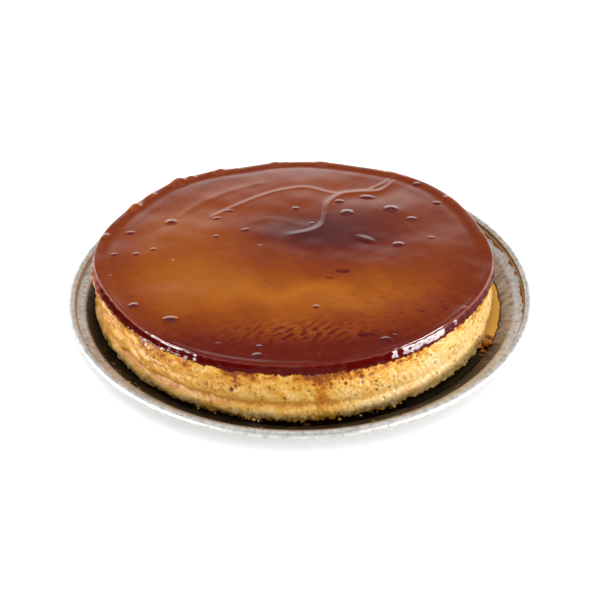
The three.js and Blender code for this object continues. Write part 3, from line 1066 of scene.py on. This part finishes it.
            depth += 0.24 * ramp(bell(away, 0, 0.5), 0.3, 0.6)
        depth += 0.17 * bell(y, -98, 18) + 0.10 * ramp(inset, 30, 8) - 0.04 * ring
        # Painted shade: each taller blister is painted darker on its front face.
        for blister in self.blisters:
            if blister.height > 0.45:
                away = np.hypot((x - blister.x) / blister.stretch,
                                y - blister.y + 0.25 * blister.radius)
                depth += 0.46 * bell(away / blister.radius, 0, 0.62)
        band = ramp(drop, -1.0, -2.0)
        depth -= 0.30 * np.clip(self.edge_lumps(angle), 0, 1) * ramp(inset, 5, 1.5)
        translucent = 0.50 * ramp(np.abs(angle_from(angle, 95)), 112, 92)
        low = ramp(drop, -2.2, -4.0) * toward(angle, 180, 34) * 0.35
        around = round_about(AROUND, angle, 1.5 * drop)
        side = 0.99 - translucent - low + 0.12 * unevenness(around, 5, self.seed + 12) \
            - 0.22 * ramp(drop, -4.2, -5.2) \
            * np.clip(0.5 + unevenness(around, 7, self.seed + 13), 0, 1)
        paint(piece, "depth", depth * (1 - band) + side * band)
        paint(piece, "edge", band)
        smoke = oval(x, y, (6, 25), (32, 15), 0.9) + 0.7 * oval(x, y, (48, 32), (42, 26), 0.9)
        paint(piece, "smoke", 0.42 * np.clip(smoke, 0, 1) * (1 - band))

    def build(self) -> bpy.types.Object:
        """Builds the caramel."""
        piece = turned_piece("caramel_glazed", self.section(), self.steps)
        self.refine(piece)
        self.model(piece)
        smooth(piece, 75)
        hand_over(piece, Slot.CARAMEL, CaramelGlaze().build(), "caramel_layer")
        return piece


# ---------- Syrup, drops and crumbs ----------


def keep_arc(piece: bpy.types.Object, start: float, end: float) -> None:
    """Keeps a ring's stretch between two directions in degrees, and closes its ends."""
    points = read_points(piece)
    angle = np.degrees(np.arctan2(points[:, 1], points[:, 0]))
    away = np.mod(angle - start, 360)
    edit_only(piece)
    bpy.ops.mesh.select_mode(type="VERT")
    bpy.ops.mesh.select_all(action="DESELECT")
    leave_edit()
    piece.data.vertices.foreach_set("select", away > end - start)
    edit_only(piece)
    bpy.ops.mesh.delete(type="VERT")
    bpy.ops.mesh.select_all(action="SELECT")
    bpy.ops.mesh.fill_holes(sides=0)
    bpy.ops.mesh.normals_make_consistent(inside=False)
    leave_edit()


@dataclass
class SyrupPool:
    """The shallow syrup at one side of the flan, from its foot to the plate's wall, with a painted
    reflection of the custard's side at its right.
    """

    custard: Custard
    plate: FoilPlate
    level: float
    start: float = -100.5
    end: float = 118.0
    steps: int = 1408
    floor: float = 0.62

    def section(self) -> list[tuple[float, float]]:
        """A closed section: radius runs from nought at the flan to one at the wall."""
        across = np.linspace(0, 1, 9)
        lower = [(HUB + share, 0.0) for share in across]
        return lower + [(HUB + share, 1.0) for share in across[::-1]]

    def model(self, piece: bpy.types.Object) -> None:
        """Spreads the ring from the flan's foot to the wall, with a curved rim to the liquid."""
        base = read_points(piece)
        angle = np.arctan2(base[:, 1], base[:, 0])
        across = np.clip(np.hypot(base[:, 0], base[:, 1]) - HUB, 0, 1)
        upper = base[:, 2]
        foot_share = np.full(len(angle), 0.03)
        inner = self.custard.side_radius(angle, foot_share) - 1.0
        inside = self.custard.shape.place(angle, inner, np.full(len(angle), self.level))
        inner_reach = np.hypot(inside[:, 0], inside[:, 1])
        shore = 0.5 * unevenness(round_about(AROUND, angle), 9, 61) \
            + 0.2 * unevenness(round_about(AROUND, angle), 2.5, 62, 20)
        ends = ramp(angle_from(angle, self.start), -0.5, 9) \
            * ramp(-angle_from(angle, self.end), 0, 14)
        liquid = self.floor + (self.level - self.floor) * np.clip(ends, 0.15, 1)
        wall = self.plate.wall_radius(liquid) + np.minimum(shore, 0.4) - 0.1
        reach = np.maximum(inner_reach, 10) \
            + (np.maximum(wall, inner_reach + 1) - inner_reach) * across
        meniscus = 0.35 * bell(across, 1, 0.08) + 0.5 * bell(across, 0, 0.15)
        top = liquid + meniscus * 0.5
        bottom = np.clip(self.plate.surface(reach) + 0.02, self.floor, top - 0.1)
        height = bottom + (top - bottom) * upper
        points = np.c_[reach * np.cos(angle), reach * np.sin(angle), height]
        write_points(piece, points)
        # Painted reflection of the custard's side: a golden patch at the right of the pool, short of the
        # wall, with painted glints beside it.
        turn = angle_from(angle, -12)
        swirl = unevenness(np.c_[points[:, 0], points[:, 1]], 3.0, 63)
        golden = ramp(turn, -13, -9) * (1 - ramp(turn, 14, 20)) * (1 - ramp(across, 0.90, 0.97))
        glints = bell(turn, -16, 6) * ramp(swirl, 0.2, 0.7) * 0.6
        paint(piece, "thin_and_reflection", golden * np.clip(0.95 + 0.1 * swirl, 0, 1) + glints * (1 - golden)
              + 0.35 * toward(angle, -88.5, 1.2) * bell(across, 0.7, 0.2))

    def build(self) -> bpy.types.Object:
        """Builds the pool."""
        piece = turned_piece("syrup_pool_thin", self.section(), self.steps, closed=True)
        keep_arc(piece, self.start, self.end)
        self.model(piece)
        smooth(piece, 60)
        hand_over(piece, Slot.SYRUP, DarkSyrup().build(), "syrup_pool")
        return piece


def scattered(name: str, places: Array, sizes: Array, lumpy: float, seed: int) -> bpy.types.Object:
    """Makes many small closed drops or crumbs as one piece.

    Args:
        name: The new piece's name.
        places: Their middles, one row each, in millimetres.
        sizes: Their half sizes along X, Y and Z, one row each, in millimetres.
        lumpy: How uneven they are, from nought for smooth drops.
        seed: Chooses their unevenness.

    Returns:
        The piece.
    """
    bpy.ops.object.select_all(action="DESELECT")
    bpy.ops.mesh.primitive_ico_sphere_add(subdivisions=2, radius=MM)
    piece = bpy.context.active_object
    piece.name = piece.data.name = name
    edit_only(piece)
    for _ in range(len(places) - 1):
        bpy.ops.mesh.primitive_ico_sphere_add(subdivisions=2, radius=MM)
    leave_edit()
    balls = read_points(piece).reshape(len(places), -1, 3)
    offsets = np.random.default_rng(seed).uniform(0, 40, (len(places), 1, 3))
    spots = (balls + np.repeat(offsets, balls.shape[1], 1)).reshape(-1, 3)
    bulge = 1 + lumpy * unevenness(spots, 1.6, seed).reshape(len(places), -1, 1)
    points = places[:, None, :] + balls * bulge * sizes[:, None, :]
    write_points(piece, points.reshape(-1, 3))
    smooth(piece, 180)
    return piece


@dataclass
class Spills:
    """What has run, dripped and crumbled: syrup in the groove, drops on the brim, crumbs at the
    foot and beads of caramel along the band's lower edge."""

    plate: FoilPlate
    custard: Custard
    top: CaramelTop
    drops: int = 150
    crumbs: int = 70
    beads: int = 120
    seed: int = 81
    groove_runs: tuple[tuple[float, float, float], ...] = (
        (14.5, 26, 1.5), (28, 60, 0.8), (66, 98, 0.6), (7, 11, 1.2), (3.2, 5.6, 1.1),
        (350.3, 361, 1.0), (346.6, 348.6, 1.1), (200, 214, 0.22), (222, 262, 0.25),
        (300, 334, 0.22))

    def groove_syrup(self) -> bpy.types.Object:
        """Syrup that lies in the groove inside the bead, in runs that taper at both ends."""
        runs = []
        for start, end, width in self.groove_runs:
            ring = [(HUB + math.cos(math.radians(a)), math.sin(math.radians(a)))
                    for a in range(0, 360, 40)]
            run = turned_piece(f"groove_run_{int(start)}", ring, 720, closed=True)
            keep_arc(run, start, end)
            base = read_points(run)
            angle = np.arctan2(base[:, 1], base[:, 0])
            across = np.hypot(base[:, 0], base[:, 1]) - HUB
            along = np.mod(np.degrees(angle) - start, 360) / (end - start)
            taper = np.sqrt(np.clip(4 * along * (1 - along), 0.02, 1))
            swell = 1 + 0.45 * unevenness(round_about(124, angle), 6, self.seed)
            reach = self.plate.groove_radius - 0.35 + across * width * taper * swell
            level = self.plate.surface(np.full(len(angle), self.plate.groove_radius - 0.4)) + 0.02
            height = level + base[:, 2] * 0.32 * taper
            write_points(run, np.c_[reach * np.cos(angle), reach * np.sin(angle), height])
            paint(run, "thin_and_reflection", 0.56 + 0.12 * across)
            smooth(run, 80)
            runs.append(run)
        return joined("groove_syrup_runs", runs)

    def brim_drops(self) -> bpy.types.Object:
        """Small drops of syrup on the flange, the bead and the wall."""
        chance = np.random.default_rng(self.seed + 1)
        angle = chance.uniform(0, TURN, self.drops)
        radius = chance.choice([0, 1, 2], self.drops, p=[0.45, 0.3, 0.25])
        radius = np.select([radius == 0, radius == 1],
                           [chance.uniform(119.8, 123.6, self.drops),
                            chance.uniform(125.2, 127.8, self.drops)],
                           chance.uniform(115.0, 119.4, self.drops))
        size = 0.28 + 0.5 * chance.random(self.drops) ** 2.5
        places = np.c_[radius * np.cos(angle), radius * np.sin(angle),
                       np.minimum(self.plate.surface(radius), self.plate.top - 0.3) + 0.02]
        piece = scattered("brim_drops", places, np.c_[size, size * 0.9, size * 0.3], 0.12, self.seed + 2)
        paint(piece, "thin_and_reflection", np.repeat(chance.uniform(0.5, 0.9, self.drops), BALL_POINTS))
        return piece

    def foot_crumbs(self) -> bpy.types.Object:
        """Crumbs of custard at the foot, and one chip at the right."""
        chance = np.random.default_rng(self.seed + 3)
        turn = chance.uniform(-TURN / 2, TURN / 2, self.crumbs)
        turn[:4] = np.radians([-27.0, -26.3, -25.4, -26.6])
        size = 0.35 + 0.7 * chance.random(self.crumbs) ** 3
        size[:4] = (2.6, 2.0, 1.7, 1.4)
        share = np.full(self.crumbs, 0.02)
        radius = self.custard.side_radius(turn, share) + chance.uniform(-0.3, 1.0, self.crumbs)
        radius[:4] += (2.2, 3.6, 1.4, 3.0)
        shape = self.custard.shape
        places = shape.place(turn, radius, np.full(self.crumbs, shape.foot))
        reach = np.hypot(places[:, 0], places[:, 1])
        most = self.plate.wall_top_radius - 3
        places[:, :2] *= np.minimum(1, most / reach)[:, None]
        places[:, 2] = self.plate.surface(np.hypot(places[:, 0], places[:, 1])) + size * 0.55
        places[:4, 2] += (0.9, 0.9, 1.4, 1.2)
        piece = scattered("foot_crumbs", places, np.c_[size, size * 0.8, size * 0.7], 0.3, self.seed + 4)
        brown = np.full(self.crumbs, 0.12)
        brown[:4] = (0.8, 0.7, 0.3, 0.6)
        paint(piece, "brown", np.repeat(brown, BALL_POINTS))
        paint(piece, "wet", np.full(self.crumbs * BALL_POINTS, 0.6))
        paint(piece, "pore", np.zeros(self.crumbs * BALL_POINTS))
        return piece

    def hanging_beads(self) -> bpy.types.Object:
        """Beads of caramel that hang along the lower edge of the dark band."""
        chance = np.random.default_rng(self.seed + 5)
        turn = chance.uniform(0, TURN, self.beads)
        size = 0.4 + 0.5 * chance.random(self.beads) ** 2
        shape = self.top.shape
        radius = shape.outline(turn) + self.top.proud - 0.15
        height = shape.top(radius * np.sin(turn)) - shape.band(turn) - 0.2 \
            + chance.normal(0, 0.35, self.beads)
        places = shape.place(turn, radius, height)
        piece = scattered("caramel_beads", places, np.c_[size, size, size * 0.8], 0.2, self.seed + 6)
        paint(piece, "depth", np.repeat(chance.uniform(0.75, 1.0, self.beads), BALL_POINTS))
        return piece

    def build(self) -> None:
        """Builds them all."""
        hand_over(self.groove_syrup(), Slot.SYRUP, bpy.data.materials["caramel_syrup_thin"])
        hand_over(self.brim_drops(), Slot.SYRUP, bpy.data.materials["caramel_syrup_thin"])
        hand_over(self.foot_crumbs(), Slot.CUSTARD, bpy.data.materials["egg_custard_baked"])
        hand_over(self.hanging_beads(), Slot.CARAMEL, bpy.data.materials["burnt_sugar_caramel_glazed"])


# ---------- The studio ----------


@dataclass
class Studio:
    """A pale floor, a soft bright horizon, softboxes and fill lights, and the camera."""

    distance: float = 0.6
    elevation: float = 34.40
    aim_down: float = 35.33
    roll: float = 0.63
    lens: float = 63.96
    look_height: float = 0.0096
    horizon: float = 2.3
    front: float = 0.14
    gap: float = 0.22
    overhead: float = 1.1

    def floor(self) -> None:
        """The floor that the plate stands on."""
        bpy.ops.object.select_all(action="DESELECT")
        bpy.ops.mesh.primitive_plane_add(size=5)
        floor = bpy.context.active_object
        floor.name = "studio_floor"
        material, tree, output = new_material("paper_backdrop_white")
        place = add_node(tree, "ShaderNodeTexCoord").outputs["Object"]
        fibre = add_node(tree, "ShaderNodeTexNoise", inputs={"Vector": place, "Scale": 1 / (3 * MM)})
        tint = add_node(tree, "ShaderNodeValToRGB", inputs={"Fac": fibre.outputs["Fac"]}, stops=[
            (0.3, linear("#fafafa")), (0.7, linear("#ffffff"))])
        shader = add_node(tree, "ShaderNodeBsdfPrincipled", inputs={
            "Base Color": tint.outputs["Color"], "Roughness": 0.9,
            "Emission Color": (1, 1, 1, 1), "Emission Strength": 0.25})
        tree.links.new(shader.outputs[0], output.inputs["Surface"])
        floor.data.materials.append(material)

    def sky_light(self) -> None:
        """A world that is bright round the horizon and overhead, and dim between."""
        world = bpy.data.worlds.new("studio")
        world.use_nodes = True
        bpy.context.scene.world = world
        tree = world.node_tree
        tree.nodes.clear()
        look = add_node(tree, "ShaderNodeTexCoord").outputs["Generated"]
        axes = add_node(tree, "ShaderNodeSeparateXYZ", inputs={"Vector": look})
        stops = ((0, self.horizon), (22, self.horizon), (25, 0.45 * self.horizon), (28, self.gap),
                 (44, self.gap), (62, self.overhead), (90, self.overhead))
        glow = add_node(tree, "ShaderNodeValToRGB", inputs={"Fac": axes.outputs["Z"]}, stops=[
            (math.sin(math.radians(at)), (value / 4, value / 4, value / 4, 1)) for at, value in stops])
        front = add_node(tree, "ShaderNodeMapRange", inputs={
            "Value": axes.outputs["Y"], "From Min": -0.35, "From Max": 0.1, "To Min": 4 * self.front,
            "To Max": 4.0})
        back = add_node(tree, "ShaderNodeBackground", inputs={
            "Color": glow.outputs["Color"], "Strength": front.outputs["Result"]})
        output = add_node(tree, "ShaderNodeOutputWorld")
        tree.links.new(back.outputs[0], output.inputs["Surface"])

    def softbox(self, name: str, place: tuple[float, float, float],
                target: tuple[float, float, float], width: float, height: float,
                radiance: float, mirrored: bool = True, lights: bool = True) -> None:
        """Adds an area light that faces a target.

        Args:
            name: The light's name.
            place: Where it stands, in metres.
            target: What it faces, in metres.
            width: Its width, in metres.
            height: Its height, in metres.
            radiance: How bright its face is; white paper in full light is one.
            mirrored: False where shiny surfaces don't show it.
            lights: False where it is only seen mirrored.
        """
        bpy.ops.object.light_add(type="AREA", location=place)
        light = bpy.context.active_object
        light.name = light.data.name = name
        light.data.shape = "RECTANGLE"
        light.data.size, light.data.size_y = width, height
        light.data.energy = radiance * math.pi * width * height
        light.visible_glossy = mirrored
        light.visible_diffuse = lights
        look = Vector(target) - Vector(place)
        light.rotation_mode = "QUATERNION"
        light.rotation_quaternion = look.to_track_quat("-Z", "Y")

    def camera(self) -> None:
        """The camera, in front of the plate and above it."""
        up, down, roll = (math.radians(a) for a in (self.elevation, self.aim_down, self.roll))
        bpy.ops.object.camera_add()
        camera = bpy.context.active_object
        right = Vector((1, 0, 0))
        over = Vector((0, math.sin(down), math.cos(down)))
        back = Vector((0, -math.cos(down), math.sin(down)))
        turned_right = math.cos(roll) * right - math.sin(roll) * over
        turned_over = math.sin(roll) * right + math.cos(roll) * over
        axes = Matrix((turned_right, turned_over, back)).transposed()
        camera.rotation_mode = "QUATERNION"
        camera.rotation_quaternion = axes.to_quaternion()
        camera.location = (0, -self.distance * math.cos(up),
                           self.look_height + self.distance * math.sin(up))
        camera.data.lens = self.lens
        camera.data.sensor_width = 36
        camera.data.clip_start = 0.01
        bpy.context.scene.camera = camera

    def build(self) -> None:
        """Sets the studio up."""
        self.floor()
        self.sky_light()
        self.softbox("right_softbox", (1.03, -0.38, 0.20), (0, 0, 0.03), 0.54, 0.15, 34)
        self.softbox("left_softbox", (-1.03, -0.38, 0.20), (0, 0, 0.03), 0.44, 0.13, 24)
        for side in (-1, 1):
            self.softbox(f"glint_strip_{side}", (side * 1.0, -0.42, 0.13), (0, 0, 0.03),
                         0.5, 0.22, 75, lights=False)
        self.softbox("overhead_fill", (0, -0.2, 1.6), (0, 0, 0), 1.6, 1.6, 1.25, mirrored=False)
        self.softbox("front_fill", (0.2, -1.7, 0.8), (0, 0, 0), 1.6, 0.9, 2.0, mirrored=False)
        self.camera()
        bpy.context.scene.view_settings.view_transform = "Standard"


# ---------- Putting it together ----------


def span(node: str) -> tuple[Array, Array]:
    """A CAD node's lowest and highest corner, in millimetres."""
    low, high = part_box(node)
    return np.array(low) / MM, np.array(high) / MM


def main() -> None:
    """Builds every piece round the frame, in the order in which the dish is put together."""
    logging.basicConfig(level=logging.INFO, format="%(name)s: %(message)s")
    plate_high = span("foil_plate")[1]
    caramel_low, caramel_high = span("caramel_layer")
    custard_low, custard_high = span("custard")
    middle = (caramel_low + caramel_high) / 2
    plate = FoilPlate(radius=plate_high[0], top=plate_high[2])
    plate.build()
    shape = FlanShape(centre=(middle[0] - 0.9, middle[1]), foot=custard_low[2],
                      middle_top=caramel_high[2] - 4.8)
    custard = Custard(shape, plate, highest=custard_high[2])
    custard.build()
    top = CaramelTop(shape, highest=caramel_high[2], farthest=caramel_high[1])
    top.build()
    syrup_high = span("syrup_pool")[1]
    SyrupPool(custard, plate, level=syrup_high[2]).build()
    Spills(plate, custard, top).build()
    Studio().build()


if __name__ == "__main__":
    main()
